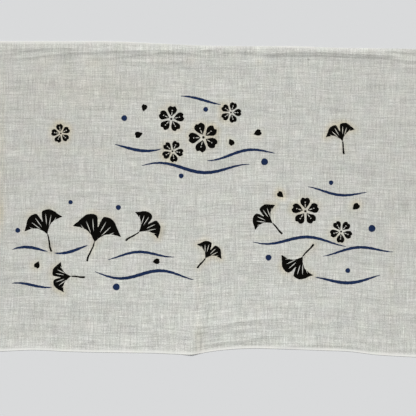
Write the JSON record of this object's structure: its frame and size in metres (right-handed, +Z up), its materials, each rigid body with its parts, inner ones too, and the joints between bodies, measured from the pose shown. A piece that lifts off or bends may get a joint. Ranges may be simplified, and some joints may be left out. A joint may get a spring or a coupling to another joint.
{
  "type": "tenugui towel",
  "caption": "Thin flat cotton hand towel lying face up, with soft folds beside its selvages, storage creases and plain cut ends.",
  "frame": {"origin": "centre of the towel's outline, on the surface that it lies on", "axes": "+X along the length, +Y across the width towards the selvage at the top of the picture, +Z up from the surface"},
  "size_m": [0.8726, 0.3456, 0.0028],
  "materials": {
    "towel_cotton": "matte plain-woven bleached cotton with a dyed print"
  },
  "bodies": {
    "root": {"towel_cloth": "towel_cotton"}
  },
  "joints": []
}
